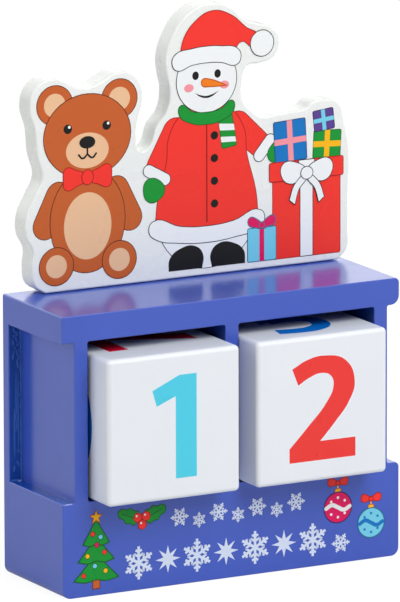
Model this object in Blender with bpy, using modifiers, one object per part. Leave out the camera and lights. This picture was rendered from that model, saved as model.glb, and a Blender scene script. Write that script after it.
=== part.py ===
"""Wooden countdown calendar: an open case with two number cubes and a cut-out board on top.

Metres, +Z up, front towards -Y. The origin is the centre of the case's underside.
"""
import math

import bmesh
import bpy
from mathutils import Matrix

# Number cubes and the compartments that take them
CUBE_EDGE = 0.0544
CUBE_ROUNDING = 0.0018
CUBE_SIDE_PLAY = 0.0012
CUBE_HEADROOM = 0.0048
CUBE_REAR_PLAY = 0.0010

# The right cube stands against the divider, this far left of its compartment's middle
RIGHT_CUBE_LEFT_SHIFT = 0.0009

# Case: a base block, three uprights and a back panel under a top slab
PANEL_THICKNESS = 0.0055
DIVIDER_THICKNESS = 0.0055
BACK_THICKNESS = 0.0045
COMPARTMENT_DEPTH = 0.0420
END_RECESS = 0.0050
SLAB_THICKNESS = 0.0100
BASE_HEIGHT = 0.0355
EDGE_ROUNDING = 0.0004
FOOT_ROUNDING = 0.0032
RIGHT_TOP_ROUNDING = 0.0018
SLAB_RIGHT_FOOT_ROUNDING = 0.0034

# Cut-out board that stands on the slab, flush with the back of the case
TOPPER_WIDTH = 0.1343
TOPPER_HEIGHT = 0.1013
TOPPER_THICKNESS = 0.0090
TOPPER_ROUNDING = 0.0008
TOPPER_RIGHT_SHIFT = 0.00285

# Dowels and pins, all hidden once the case is painted
TOPPER_DOWEL_DIAMETER = 0.0040
TOPPER_DOWEL_RISE = 0.0080
SLAB_FLOOR_UNDER_DOWEL = 0.0025
PANEL_DOWEL_DIAMETER = 0.0030
PANEL_DOWEL_LENGTH = 0.0120
PANEL_DOWEL_INSET = 0.0090
BACK_PIN_DIAMETER = 0.0014
BACK_PIN_LENGTH = 0.0140
BACK_PIN_INSET = 0.0140

# Gap that is left between pieces that touch, and how far a drill runs past a face
JOINT_GAP = 0.0003
DRILL_OVERRUN = 0.0010

# Points of the cut-out board's mesh that lie closer than this are one point
WELD_DISTANCE = 0.00001

# Where the three dowels stand along the topper's foot
TOPPER_DOWEL_SHARES = (-0.31, 0.04, 0.36)

# Outline of the cut-out board, clockwise from its left foot: shares of its width and height
TOPPER_OUTLINE_SHARES = (
    (-0.443, 0.000), (-0.475, 0.032), (-0.483, 0.095), (-0.480, 0.158),
    (-0.500, 0.217), (-0.500, 0.282), (-0.472, 0.361), (-0.450, 0.421),
    (-0.465, 0.508), (-0.472, 0.602), (-0.487, 0.681), (-0.469, 0.754),
    (-0.414, 0.784), (-0.364, 0.756), (-0.334, 0.741), (-0.297, 0.741),
    (-0.267, 0.756), (-0.216, 0.784), (-0.161, 0.754), (-0.143, 0.681),
    (-0.158, 0.602), (-0.163, 0.533), (-0.152, 0.486), (-0.127, 0.492),
    (-0.099, 0.569), (-0.069, 0.618), (-0.058, 0.691), (-0.066, 0.750),
    (-0.070, 0.809), (-0.047, 0.898), (0.001, 0.973), (0.068, 1.000),
    (0.134, 0.975), (0.175, 0.928), (0.217, 0.908), (0.263, 0.885),
    (0.281, 0.835), (0.265, 0.782), (0.220, 0.762), (0.181, 0.756),
    (0.164, 0.691), (0.168, 0.630), (0.195, 0.588), (0.229, 0.561),
    (0.265, 0.565), (0.318, 0.571), (0.363, 0.575), (0.385, 0.596),
    (0.426, 0.602), (0.467, 0.582), (0.482, 0.519), (0.493, 0.460),
    (0.500, 0.375), (0.497, 0.247), (0.496, 0.118), (0.493, 0.036),
    (0.464, 0.000),
)

BLUE = (0.051, 0.107, 0.515)
WHITE = (0.815, 0.838, 0.871)
BARE_WOOD = (0.610, 0.420, 0.230)
STEEL = (0.560, 0.560, 0.580)

# Sizes that follow from the ones above
COMPARTMENT_WIDTH = CUBE_EDGE + 2 * CUBE_SIDE_PLAY
COMPARTMENT_HEIGHT = JOINT_GAP + CUBE_EDGE + CUBE_HEADROOM
CASE_WIDTH = 2 * (END_RECESS + PANEL_THICKNESS + COMPARTMENT_WIDTH) + DIVIDER_THICKNESS
CASE_DEPTH = COMPARTMENT_DEPTH + BACK_THICKNESS
FRONT = -CASE_DEPTH / 2
REAR = CASE_DEPTH / 2
BACK_INNER_FACE = REAR - BACK_THICKNESS
BASE_TOP = BASE_HEIGHT
SLAB_BOTTOM = BASE_TOP + COMPARTMENT_HEIGHT
SLAB_TOP = SLAB_BOTTOM + SLAB_THICKNESS
PANEL_CENTRE = CASE_WIDTH / 2 - END_RECESS - PANEL_THICKNESS / 2
CUBE_CENTRE_X = DIVIDER_THICKNESS / 2 + COMPARTMENT_WIDTH / 2
UPRIGHTS = (
    ("left_side_panel", -PANEL_CENTRE, PANEL_THICKNESS),
    ("centre_divider", 0.0, DIVIDER_THICKNESS),
    ("right_side_panel", PANEL_CENTRE, PANEL_THICKNESS),
)


def clear_scene():
    for obj in list(bpy.data.objects):
        bpy.data.objects.remove(obj, do_unlink=True)


def new_collection(name):
    collection = bpy.data.collections.new(name)
    bpy.context.scene.collection.children.link(collection)
    return collection


def paint(name, colour, roughness, metallic=0.0):
    material = bpy.data.materials.new(name)
    material.use_nodes = True
    shader = material.node_tree.nodes["Principled BSDF"]
    shader.inputs["Base Color"].default_value = (*colour, 1.0)
    shader.inputs["Roughness"].default_value = roughness
    shader.inputs["Metallic"].default_value = metallic
    return material


def add_object(name, bm, centre, material, collection):
    """Turn a bmesh, modelled round its own origin, into an object that stands at centre."""
    bmesh.ops.recalc_face_normals(bm, faces=bm.faces)
    mesh = bpy.data.meshes.new(name)
    bm.to_mesh(mesh)
    bm.free()
    obj = bpy.data.objects.new(name, mesh)
    obj.location = centre
    if material:
        mesh.materials.append(material)
    collection.objects.link(obj)
    return obj


def block_mesh(size):
    bm = bmesh.new()
    bmesh.ops.create_cube(bm, size=1.0)
    bmesh.ops.scale(bm, vec=size, verts=bm.verts)
    return bm


def round_end_edge(bm, side, height, radius, segments):
    """Round the edge that runs front to back on one side, -1 or 1, at the foot or the top, -1 or 1."""
    edges = []
    for edge in bm.edges:
        a, b = edge.verts
        front_to_back = abs(a.co.y - b.co.y) > EDGE_ROUNDING
        if front_to_back and a.co.x * side > 0 and b.co.x * side > 0 and a.co.z * height > 0:
            edges.append(edge)
    bmesh.ops.bevel(bm, geom=edges, offset=radius, segments=segments, profile=0.5, affect="EDGES")


def soften_edges(obj, radius, segments):
    bevel = obj.modifiers.new("soft_edges", "BEVEL")
    bevel.width = radius
    bevel.segments = segments
    bevel.limit_method = "ANGLE"
    bevel.angle_limit = math.radians(40)


def add_rod(bm, centre, axis, radius, length, sides=16):
    """Add a closed round rod along Z or Y to a bmesh."""
    turn = Matrix.Rotation(math.radians(90), 4, "X") if axis == "Y" else Matrix.Identity(4)
    place = Matrix.Translation(centre) @ turn
    bmesh.ops.create_cone(
        bm, cap_ends=True, segments=sides, radius1=radius, radius2=radius, depth=length, matrix=place
    )


def drill(target, name, holes, axis, radius, collection):
    """Cut round holes: each is the centre and the length of the drill's path."""
    bm = bmesh.new()
    for centre, length in holes:
        add_rod(bm, centre, axis, radius, length)
    cutter = add_object(name, bm, (0.0, 0.0, 0.0), None, collection)
    cutter.hide_render = True
    cutter.display_type = "WIRE"
    cut = target.modifiers.new(name, "BOOLEAN")
    cut.operation = "DIFFERENCE"
    cut.solver = "EXACT"
    cut.object = cutter


def blind_hole_up(x, y, face, depth):
    """A hole that is drilled upwards from a face, to the stated depth."""
    length = depth + DRILL_OVERRUN
    return ((x, y, face + depth - length / 2), length)


def blind_hole_down(x, y, face, depth):
    """A hole that is drilled downwards from a face, to the stated depth."""
    length = depth + DRILL_OVERRUN
    return ((x, y, face - depth + length / 2), length)


def panel_dowel_places():
    places = []
    for _, x, _ in UPRIGHTS:
        places.append((x, FRONT + PANEL_DOWEL_INSET))
        places.append((x, BACK_INNER_FACE - PANEL_DOWEL_INSET))
    return places


def topper_dowel_places():
    y = REAR - TOPPER_THICKNESS / 2
    return [(TOPPER_RIGHT_SHIFT + share * TOPPER_WIDTH, y) for share in TOPPER_DOWEL_SHARES]


def back_pin_places():
    places = []
    for _, x, _ in UPRIGHTS:
        places.append((x, BASE_TOP + BACK_PIN_INSET))
        places.append((x, SLAB_BOTTOM - BACK_PIN_INSET))
    return places


def back_pin_path():
    """Centre and length, front to back, of the drilled path of a pin through the back panel."""
    depth = BACK_PIN_LENGTH + JOINT_GAP
    length = depth + DRILL_OVERRUN
    return REAR - depth + length / 2, length


PANEL_DOWEL_HOLE = PANEL_DOWEL_DIAMETER / 2 + JOINT_GAP
TOPPER_DOWEL_HOLE = TOPPER_DOWEL_DIAMETER / 2 + JOINT_GAP
BACK_PIN_HOLE = BACK_PIN_DIAMETER / 2 + JOINT_GAP
PANEL_DOWEL_DEPTH = PANEL_DOWEL_LENGTH / 2 + JOINT_GAP
TOPPER_DOWEL_DROP = SLAB_THICKNESS - SLAB_FLOOR_UNDER_DOWEL - JOINT_GAP


def base_block(parts, cutters, material):
    bm = block_mesh((CASE_WIDTH, CASE_DEPTH, BASE_HEIGHT))
    round_end_edge(bm, -1, -1, FOOT_ROUNDING, 4)
    round_end_edge(bm, 1, -1, FOOT_ROUNDING, 4)
    round_end_edge(bm, 1, 1, RIGHT_TOP_ROUNDING, 3)
    block = add_object("base_block", bm, (0.0, 0.0, BASE_HEIGHT / 2), material, parts)
    soften_edges(block, EDGE_ROUNDING, 2)
    holes = [blind_hole_down(x, y, BASE_TOP, PANEL_DOWEL_DEPTH) for x, y in panel_dowel_places()]
    drill(block, "base_dowel_holes", holes, "Z", PANEL_DOWEL_HOLE, cutters)


def top_slab(parts, cutters, material):
    bm = block_mesh((CASE_WIDTH, CASE_DEPTH, SLAB_THICKNESS))
    round_end_edge(bm, 1, -1, SLAB_RIGHT_FOOT_ROUNDING, 4)
    round_end_edge(bm, 1, 1, RIGHT_TOP_ROUNDING, 3)
    centre = (0.0, 0.0, SLAB_BOTTOM + SLAB_THICKNESS / 2)
    slab = add_object("top_slab", bm, centre, material, parts)
    soften_edges(slab, EDGE_ROUNDING, 2)
    under = [blind_hole_up(x, y, SLAB_BOTTOM, PANEL_DOWEL_DEPTH) for x, y in panel_dowel_places()]
    drill(slab, "slab_dowel_holes", under, "Z", PANEL_DOWEL_HOLE, cutters)
    depth = TOPPER_DOWEL_DROP + JOINT_GAP
    over = [blind_hole_down(x, y, SLAB_TOP, depth) for x, y in topper_dowel_places()]
    drill(slab, "slab_topper_holes", over, "Z", TOPPER_DOWEL_HOLE, cutters)


def back_panel(parts, cutters, material):
    height = COMPARTMENT_HEIGHT - 2 * JOINT_GAP
    bm = block_mesh((CASE_WIDTH, BACK_THICKNESS, height))
    centre = (0.0, REAR - BACK_THICKNESS / 2, (BASE_TOP + SLAB_BOTTOM) / 2)
    panel = add_object("back_panel", bm, centre, material, parts)
    soften_edges(panel, EDGE_ROUNDING, 2)
    y, length = back_pin_path()
    holes = [((x, y, z), length) for x, z in back_pin_places()]
    drill(panel, "back_panel_pin_holes", holes, "Y", BACK_PIN_HOLE, cutters)


def upright(name, x, thickness, parts, cutters, material):
    """A side panel or the divider: it stands on the base, under the slab, before the back panel."""
    height = COMPARTMENT_HEIGHT - 2 * JOINT_GAP
    depth = COMPARTMENT_DEPTH - JOINT_GAP
    bm = block_mesh((thickness, depth, height))
    foot = BASE_TOP + JOINT_GAP
    head = foot + height
    panel = add_object(name, bm, (x, FRONT + depth / 2, (foot + head) / 2), material, parts)
    soften_edges(panel, EDGE_ROUNDING, 2)
    rows = sorted({y for _, y in panel_dowel_places()})
    ends = [blind_hole_up(x, y, foot, PANEL_DOWEL_DEPTH - JOINT_GAP) for y in rows]
    ends += [blind_hole_down(x, y, head, PANEL_DOWEL_DEPTH - JOINT_GAP) for y in rows]
    drill(panel, name + "_dowel_holes", ends, "Z", PANEL_DOWEL_HOLE, cutters)
    pin_y, length = back_pin_path()
    heights = sorted({z for _, z in back_pin_places()})
    pins = [((x, pin_y, z), length) for z in heights]
    drill(panel, name + "_pin_holes", pins, "Y", BACK_PIN_HOLE, cutters)


def number_cube(name, x, parts, material):
    """A loose cube that stands in its compartment and pulls out towards the front."""
    bm = block_mesh((CUBE_EDGE, CUBE_EDGE, CUBE_EDGE))
    y = BACK_INNER_FACE - CUBE_REAR_PLAY - CUBE_EDGE / 2
    z = BASE_TOP + JOINT_GAP + CUBE_EDGE / 2
    cube = add_object(name, bm, (x, y, z), material, parts)
    soften_edges(cube, CUBE_ROUNDING, 3)


def topper_outline():
    """A flat outline curve, filled and extruded to the board's thickness with soft edges."""
    curve = bpy.data.curves.new("topper_outline", "CURVE")
    curve.dimensions = "2D"
    curve.fill_mode = "BOTH"
    curve.bevel_depth = TOPPER_ROUNDING
    curve.bevel_resolution = 1
    curve.offset = -TOPPER_ROUNDING
    curve.extrude = TOPPER_THICKNESS / 2 - TOPPER_ROUNDING
    curve.resolution_u = 3
    spline = curve.splines.new("BEZIER")
    spline.bezier_points.add(len(TOPPER_OUTLINE_SHARES) - 1)
    for point, (across, up) in zip(spline.bezier_points, TOPPER_OUTLINE_SHARES):
        point.co = (across * TOPPER_WIDTH, up * TOPPER_HEIGHT, 0.0)
        point.handle_left_type = "AUTO"
        point.handle_right_type = "AUTO"
    spline.use_cyclic_u = True
    for foot in (spline.bezier_points[0], spline.bezier_points[-1]):
        foot.handle_left_type = "VECTOR"
        foot.handle_right_type = "VECTOR"
    return curve


def topper_board(parts, cutters, material):
    outline = bpy.data.objects.new("topper_outline", topper_outline())
    foot = SLAB_TOP + JOINT_GAP
    outline.location = (TOPPER_RIGHT_SHIFT, REAR - TOPPER_THICKNESS / 2, foot)
    outline.rotation_euler = (math.radians(90), 0.0, 0.0)
    parts.objects.link(outline)
    bpy.context.view_layer.update()
    evaluated = outline.evaluated_get(bpy.context.evaluated_depsgraph_get())
    mesh = bpy.data.meshes.new_from_object(evaluated)
    bm = bmesh.new()
    bm.from_mesh(mesh)
    bmesh.ops.remove_doubles(bm, verts=bm.verts, dist=WELD_DISTANCE)
    bm.to_mesh(mesh)
    bm.free()
    board = bpy.data.objects.new("topper_board", mesh)
    board.matrix_world = outline.matrix_world.copy()
    bpy.data.objects.remove(outline, do_unlink=True)
    mesh.materials.clear()
    mesh.materials.append(material)
    parts.objects.link(board)
    holes = [blind_hole_up(x, y, foot, TOPPER_DOWEL_RISE) for x, y in topper_dowel_places()]
    drill(board, "topper_dowel_holes", holes, "Z", TOPPER_DOWEL_HOLE, cutters)


def rods(name, centres, axis, diameter, length, parts, material):
    """Like rods, one object each, numbered from the left."""
    for number, centre in enumerate(centres, start=1):
        bm = bmesh.new()
        add_rod(bm, (0.0, 0.0, 0.0), axis, diameter / 2, length)
        add_object(f"{name}_{number}", bm, centre, material, parts)


def fixings(parts, wood, steel):
    low = [(x, y, BASE_TOP) for x, y in panel_dowel_places()]
    rods("base_dowel", low, "Z", PANEL_DOWEL_DIAMETER, PANEL_DOWEL_LENGTH, parts, wood)
    high = [(x, y, SLAB_BOTTOM) for x, y in panel_dowel_places()]
    rods("slab_dowel", high, "Z", PANEL_DOWEL_DIAMETER, PANEL_DOWEL_LENGTH, parts, wood)
    length = TOPPER_DOWEL_DROP + TOPPER_DOWEL_RISE
    middle = SLAB_TOP - TOPPER_DOWEL_DROP + length / 2
    top = [(x, y, middle) for x, y in topper_dowel_places()]
    rods("topper_dowel", top, "Z", TOPPER_DOWEL_DIAMETER, length, parts, wood)
    pin_y = REAR - BACK_PIN_LENGTH / 2
    pins = [(x, pin_y, z) for x, z in back_pin_places()]
    rods("back_panel_pin", pins, "Y", BACK_PIN_DIAMETER, BACK_PIN_LENGTH, parts, steel)


def build():
    clear_scene()
    parts = new_collection("countdown_calendar")
    cutters = new_collection("cutters")
    blue = paint("blue_gloss_paint", BLUE, 0.18)
    white = paint("white_gloss_paint", WHITE, 0.2)
    wood = paint("bare_dowel_wood", BARE_WOOD, 0.7)
    steel = paint("pin_steel", STEEL, 0.35, 1.0)
    base_block(parts, cutters, blue)
    back_panel(parts, cutters, blue)
    for name, x, thickness in UPRIGHTS:
        upright(name, x, thickness, parts, cutters, blue)
    top_slab(parts, cutters, blue)
    topper_board(parts, cutters, white)
    number_cube("left_number_cube", -CUBE_CENTRE_X, parts, white)
    number_cube("right_number_cube", CUBE_CENTRE_X - RIGHT_CUBE_LEFT_SHIFT, parts, white)
    fixings(parts, wood, steel)


build()
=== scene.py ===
"""Looks of a painted wooden countdown calendar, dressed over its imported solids."""
import math
import random

import bmesh
import bpy
from mathutils import Matrix, Vector, geometry, noise

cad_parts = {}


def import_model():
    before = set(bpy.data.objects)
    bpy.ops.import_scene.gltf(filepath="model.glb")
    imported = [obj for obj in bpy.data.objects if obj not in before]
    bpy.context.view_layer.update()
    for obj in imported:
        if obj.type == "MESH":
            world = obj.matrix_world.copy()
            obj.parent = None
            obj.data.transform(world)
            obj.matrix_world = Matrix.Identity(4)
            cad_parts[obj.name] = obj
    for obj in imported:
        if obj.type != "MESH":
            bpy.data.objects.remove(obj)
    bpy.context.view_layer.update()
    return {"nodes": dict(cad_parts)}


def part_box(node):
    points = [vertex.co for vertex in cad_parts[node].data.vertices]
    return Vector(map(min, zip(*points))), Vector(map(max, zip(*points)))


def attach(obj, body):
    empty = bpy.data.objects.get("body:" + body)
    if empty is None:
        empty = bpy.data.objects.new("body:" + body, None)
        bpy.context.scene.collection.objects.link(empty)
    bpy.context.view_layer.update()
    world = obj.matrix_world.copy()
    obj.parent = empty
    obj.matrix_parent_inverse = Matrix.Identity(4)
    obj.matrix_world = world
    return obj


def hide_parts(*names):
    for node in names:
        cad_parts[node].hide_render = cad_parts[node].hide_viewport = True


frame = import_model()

# The photograph's frame and the camera that took it, in its pixels
PHOTO_WIDTH = 400
PHOTO_HEIGHT = 602
CAMERA_AZIMUTH = -28.53
CAMERA_ELEVATION = 12.34
CAMERA_ROLL = -0.15
CAMERA_DISTANCE = 3.4853
CAMERA_AIM_HEIGHT = 0.100
FOCAL_PIXELS = 9518.3
AXIS_X = 201.59
AXIS_Y = 298.92

# Thickness of one layer of ink, and the least stand-off of the first one
INK_STEP = 0.000015

# Roundings of the case: its front and rear edges, then its corners as the front shows them
CASE_ROUNDING = 0.00035
LEFT_CORNER_ROUNDING = 0.0007
RIGHT_TOP_ROUNDING = 0.0018
SLAB_RIGHT_FOOT_ROUNDING = 0.0034
FOOT_ROUNDING = 0.0032
INNER_FILLET = 0.0008
LEFT_RECESS_ROUNDING = 0.0004
LEFT_RECESS_FILLET = 0.0001

# How far the left recess's ceiling hangs lower, and how far behind the front it does so
LEFT_SAG = 0.0008
LEFT_SAG_DEPTH = 0.0105

# Steps of the roundings seen from the side and from the front, and how far a smooth edge may turn
ROUNDING_STEPS = 4
CORNER_STEPS = 6
SMOOTH_ANGLE = math.radians(35)

# The end recesses: their first and last corner in the case's outline, and the steps of a corner that
# the upright edge of their back face is rounded over
RIGHT_RECESS = (2, 5, 2)
LEFT_RECESS = (8, 11, CORNER_STEPS)

# Roundings of the loose cubes and the cut-out board
CUBE_ROUNDING = 0.0018
BOARD_ROUNDING = 0.0007

# Beads of paint in the inner corners: their radii and the length of one piece
SEAM_BEAD = 0.0006
RECESS_BEAD = 0.0004
BEAD_STEP = 0.0009

# The pins' painted heads
PIN_HEAD_RADIUS = 0.0012
PIN_HEAD_RISE = 0.0001

# Drips on the back panel beside an upright, two in three of them clumped near the ceiling: places up
# the recess as shares of its height, places out from the upright, half widths, half heights as
# multiples of those, and the most that one leans, in radians
DRIPS = 42
DRIP_CLUMP = (0.72, 0.96)
DRIP_STRAYS = (0.05, 0.7)
DRIP_AWAY = (0.0004, 0.0030)
DRIP_WIDTH = (0.00022, 0.00050)
DRIP_LENGTH = (1.2, 3.2)
DRIP_LEAN = 0.5

# Long runs of paint there: how far out, then the middle and half the length as shares of that height
RUNS = ((0.0011, 0.44, 0.25), (0.0019, 0.50, 0.20), (0.0027, 0.30, 0.16))
RUN_WIDTH = 0.0004

# Blobs of paint at an upright's foot
BLOBS = 7
BLOB_AWAY = (0.0002, 0.0016)
BLOB_DEPTH = (0.0001, 0.0016)
BLOB_WIDTH = (0.0003, 0.0006)

# How many times longer than its handle a side of a smooth curve is
HANDLE_RATIO = 2.5614

# Share of white light that gloss paint, and the flatter ink, send back whatever their colour
GLOSS_SHARE = 0.034
INK_GLOSS_SHARE = 0.014

# Light from all round, where 1 is white; the floor's half width, its own glow, and the glow's share as
# the camera sees it and as gloss mirrors it
AMBIENT = 0.15
FLOOR_SIZE = 20.0
FLOOR_GLOW = 1.09
FLOOR_SEEN = 0.85
FLOOR_MIRRORED = 0.20

# The soft boxes: azimuth and elevation in degrees, distance, edge and power
LAMPS = {
    "key_light": (12, 40, 2.5, 1.6, 38.8),
    "high_light": (15, 58, 2.5, 1.6, 18.5),
    "left_light": (-104, 25, 2.5, 1.8, 22.6),
    "right_light": (104, 25, 2.5, 1.8, 14.0),
    "back_light": (180, 16, 6.0, 7.2, 111.0),
}

BASE_LOW, BASE_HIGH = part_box("base_block")
SLAB_LOW, SLAB_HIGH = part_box("top_slab")
BACK_LOW, BACK_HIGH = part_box("back_panel")
LEFT_LOW, LEFT_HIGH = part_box("left_side_panel")
RIGHT_LOW, RIGHT_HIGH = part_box("right_side_panel")
DIVIDER_LOW, DIVIDER_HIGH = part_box("centre_divider")
BOARD_LOW, BOARD_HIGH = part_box("topper_board")

# The cut-out board's outline, clockwise from its left foot: shares of its width and height
BOARD_OUTLINE_SHARES = (
    (-0.443, 0.000), (-0.475, 0.032), (-0.483, 0.095), (-0.480, 0.158),
    (-0.500, 0.217), (-0.500, 0.282), (-0.472, 0.361), (-0.450, 0.421),
    (-0.465, 0.508), (-0.472, 0.602), (-0.487, 0.681), (-0.469, 0.754),
    (-0.414, 0.784), (-0.364, 0.756), (-0.334, 0.741), (-0.297, 0.741),
    (-0.267, 0.756), (-0.216, 0.784), (-0.161, 0.754), (-0.143, 0.681),
    (-0.158, 0.602), (-0.163, 0.533), (-0.152, 0.486), (-0.127, 0.492),
    (-0.099, 0.569), (-0.069, 0.618), (-0.058, 0.691), (-0.066, 0.750),
    (-0.070, 0.809), (-0.047, 0.898), (0.001, 0.973), (0.068, 1.000),
    (0.134, 0.975), (0.175, 0.928), (0.217, 0.908), (0.263, 0.885),
    (0.281, 0.835), (0.265, 0.782), (0.220, 0.762), (0.181, 0.756),
    (0.164, 0.691), (0.168, 0.630), (0.195, 0.588), (0.229, 0.561),
    (0.265, 0.565), (0.318, 0.571), (0.363, 0.575), (0.385, 0.596),
    (0.426, 0.602), (0.467, 0.582), (0.482, 0.519), (0.493, 0.460),
    (0.500, 0.375), (0.497, 0.247), (0.496, 0.118), (0.493, 0.036),
    (0.464, 0.000),
)

# Colours as a screen shows them: the two that each paint wavers between, then the others and the inks
BLUE = ((77, 100, 195), (72, 95, 187))
# Painted shade: a darker blue for the end recesses' back faces and the left recess's floor
RECESS_SHADE_BLUE = ((56, 94, 176), (52, 89, 167))
# A lighter blue for drips, runs and recess beads: real paint runs, their lighter colour partly painted
# glints
DRIP_GLINT_BLUE = ((74, 116, 196), (64, 104, 184))
# Painted shade: a darker blue for the compartments' walls and backs
INSIDE_SHADE_BLUE = ((60, 84, 160), (54, 78, 150))
BOARD_WHITE = ((241, 243, 240), (237, 240, 236))
CUBE_WHITE = ((236, 240, 245), (231, 235, 241))
# Pale ground under worn paint, also used as a painted highlight and painted glints
WORN_AND_GLINT_BLUE = (172, 184, 232)
BEECH = (205, 170, 125)
STEEL = (190, 190, 195)
INKS = {
    "brown": (196, 98, 52),
    "dark_brown": (88, 42, 26),
    "tan": (234, 190, 150),
    "red": (243, 61, 53),
    "warm_red": (234, 66, 62),
    "dark_red": (160, 22, 26),
    "crimson": (216, 24, 60),
    "black": (24, 23, 26),
    "white": (238, 241, 241),
    "line": (38, 36, 42),
    "sky": (120, 205, 228),
    "sky_line": (30, 110, 140),
    "blue": (0, 118, 190),
    "blue_line": (0, 58, 108),
    "green": (28, 148, 58),
    "green_line": (12, 88, 38),
    "magenta": (224, 16, 98),
    "purple": (94, 70, 142),
    "purple_line": (48, 32, 84),
    "yellow": (250, 184, 36),
    "orange": (240, 128, 38),
    "orange_line": (186, 78, 20),
    "pink": (243, 150, 160),
    "pale": (212, 222, 240),
    "cyan": (84, 204, 228),
    "print_blue": (0, 112, 200),
}

# The ink that a shape of each ink is outlined in
LINE_INKS = {"white": "line", "brown": "dark_brown", "red": "dark_red"}
LINE_INKS |= {name: name + "_line" for name in ("sky", "blue", "green", "purple", "orange")}
LINE_INKS |= {"magenta": "purple_line", "yellow": "orange_line"}

# A numeral's height as a share of its cube's edge, and the numerals, one unit high from foot to top:
# a ring's centre, half size and weight, a bar's low and high corners, a pen's weight and line, and a
# curve's points after the list of those that are sharp corners
NUMERAL_SHARE = 0.712
NUMERALS = {
    0: (("ring", (0, 0.5), (0.375, 0.51), (0.215, 0.165)),),
    1: (
        ("polygon", (0.235, 0), (0.235, 0.99), (0.05, 0.99), (-0.235, 0.865), (-0.19, 0.71), (0.012, 0.79),
         (0.012, 0)),
    ),
    2: (
        ("curve", (0, 1, 8, 9, 16, 17, 18), (-0.357, 0), (-0.357, 0.137), (-0.157, 0.335), (0.043, 0.55),
         (0.118, 0.70), (0.093, 0.80), (-0.007, 0.84), (-0.137, 0.81), (-0.262, 0.744), (-0.327, 0.906),
         (-0.167, 0.98), (0.013, 1.005), (0.253, 0.935), (0.348, 0.72), (0.283, 0.53), (0.143, 0.36),
         (-0.025, 0.184), (0.356, 0.184), (0.356, 0)),
    ),
    3: (
        ("pen", 0.18, (-0.27, 0.875), (-0.03, 0.91), (0.17, 0.80), (0.14, 0.62), (-0.10, 0.545)),
        ("pen", 0.18, (-0.10, 0.545), (0.14, 0.49), (0.23, 0.30), (0.09, 0.125), (-0.10, 0.085),
         (-0.31, 0.13)),
    ),
    4: (
        ("bar", 0.04, 0, 0.25, 1.0),
        ("bar", -0.38, 0.21, 0.38, 0.375),
        ("polygon", (-0.38, 0.37), (-0.38, 0.255), (0.04, 1.0), (0.25, 1.0), (0.06, 0.80), (-0.17, 0.37)),
    ),
    5: (
        ("bar", -0.26, 0.825, 0.30, 1.0),
        ("polygon", (-0.26, 1.0), (-0.29, 0.48), (-0.10, 0.57), (-0.075, 1.0)),
        ("pen", 0.18, (-0.20, 0.53), (0.02, 0.56), (0.22, 0.45), (0.235, 0.25), (0.08, 0.105),
         (-0.10, 0.085), (-0.31, 0.12)),
    ),
    6: (
        ("ring", (0.015, 0.33), (0.36, 0.335), (0.205, 0.155)),
        ("pen", 0.2, (0.26, 0.91), (0.02, 0.86), (-0.17, 0.68), (-0.245, 0.45), (-0.245, 0.30)),
    ),
    7: (
        ("bar", -0.35, 0.795, 0.35, 1.0),
        ("polygon", (-0.23, 0), (0.01, 0), (0.35, 0.81), (0.35, 1.0), (0.10, 1.0), (0.10, 0.795)),
    ),
    8: (
        ("ring", (0, 0.745), (0.325, 0.265), (0.19, 0.135)),
        ("ring", (0, 0.285), (0.37, 0.295), (0.205, 0.15)),
    ),
}

# Heights of the board and of the base's front in their pictures' units, about 1 mm each
BOARD_UNITS = 101.3
BASE_UNITS = 35.5

# Each side of a cube but the top, by the ways right and up as one faces it
CUBE_SIDES = {
    "front": ((1, 0, 0), (0, 0, 1)),
    "left": ((0, -1, 0), (0, 0, 1)),
    "right": ((0, 1, 0), (0, 0, 1)),
    "back": ((-1, 0, 0), (0, 0, 1)),
    "under": ((1, 0, 0), (0, -1, 0)),
}


def linear(colour, shade=1.0):
    """A screen colour, 0 to 255, as the linear value that a shader takes, times a shade."""
    out = []
    for value in colour:
        share = value / 255
        out.append(shade * (share / 12.92 if share <= 0.04045 else ((share + 0.055) / 1.055) ** 2.4))
    return (*out, 1.0)


def under_gloss(colour, gloss=GLOSS_SHARE):
    """The colour that looks like the given one once the gloss over it adds its share."""
    return (*(max(0.002, value - gloss) for value in linear(colour)[:3]), 1.0)


class Graph:
    """The nodes of a material or a world in the making."""

    def __init__(self, owner):
        owner.use_nodes = True
        self.nodes = owner.node_tree.nodes
        self.links = owner.node_tree.links

    def fill(self, node, values, sources):
        """Set a node's plain values, link its sources and give its outputs."""
        for socket, value in values.items():
            node.inputs[socket].default_value = value
        for socket, source in sources.items():
            self.links.new(source, node.inputs[socket])
        return node.outputs

    def add(self, kind, values, sources, **settings):
        node = self.nodes.new(kind)
        for setting, value in settings.items():
            setattr(node, setting, value)
        return self.fill(node, values, sources)


class Look(Graph):
    """A material in the making, with its noise on the piece's own coordinates."""

    def __init__(self, name):
        self.material = bpy.data.materials.new(name)
        super().__init__(self.material)
        self.shader = self.nodes["Principled BSDF"]
        self.place = self.nodes.new("ShaderNodeTexCoord").outputs["Object"]

    def noise(self, scale, stretch=(1.0, 1.0, 1.0), detail=3.0):
        """A noise texture, stretched along the piece's axes."""
        mapped = self.add("ShaderNodeMapping", {"Scale": stretch}, {"Vector": self.place})["Vector"]
        return self.add("ShaderNodeTexNoise", {"Scale": scale, "Detail": detail}, {"Vector": mapped})["Fac"]

    def spread(self, source, low, high):
        """Spread a noise value between two numbers."""
        values = {"From Min": 0.3, "From Max": 0.7, "To Min": low, "To Max": high}
        outputs = self.add("ShaderNodeMapRange", values, {"Value": source}, interpolation_type="SMOOTHSTEP")
        return outputs["Result"]

    def mix(self, factor, first, second):
        ends = {"A": first, "B": second}
        return self.add("ShaderNodeMix", ends, {"Factor": factor}, data_type="RGBA")["Result"]

    def bump(self, source, strength, distance, below=None):
        sources = {"Height": source, "Normal": below} if below else {"Height": source}
        return self.add("ShaderNodeBump", {"Strength": strength, "Distance": distance}, sources)["Normal"]

    def finish(self, values, colour, roughness, normal=None):
        sources = {"Base Color": colour, "Roughness": roughness}
        if normal:
            sources["Normal"] = normal
        self.fill(self.shader, values, sources)
        return self.material


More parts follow.
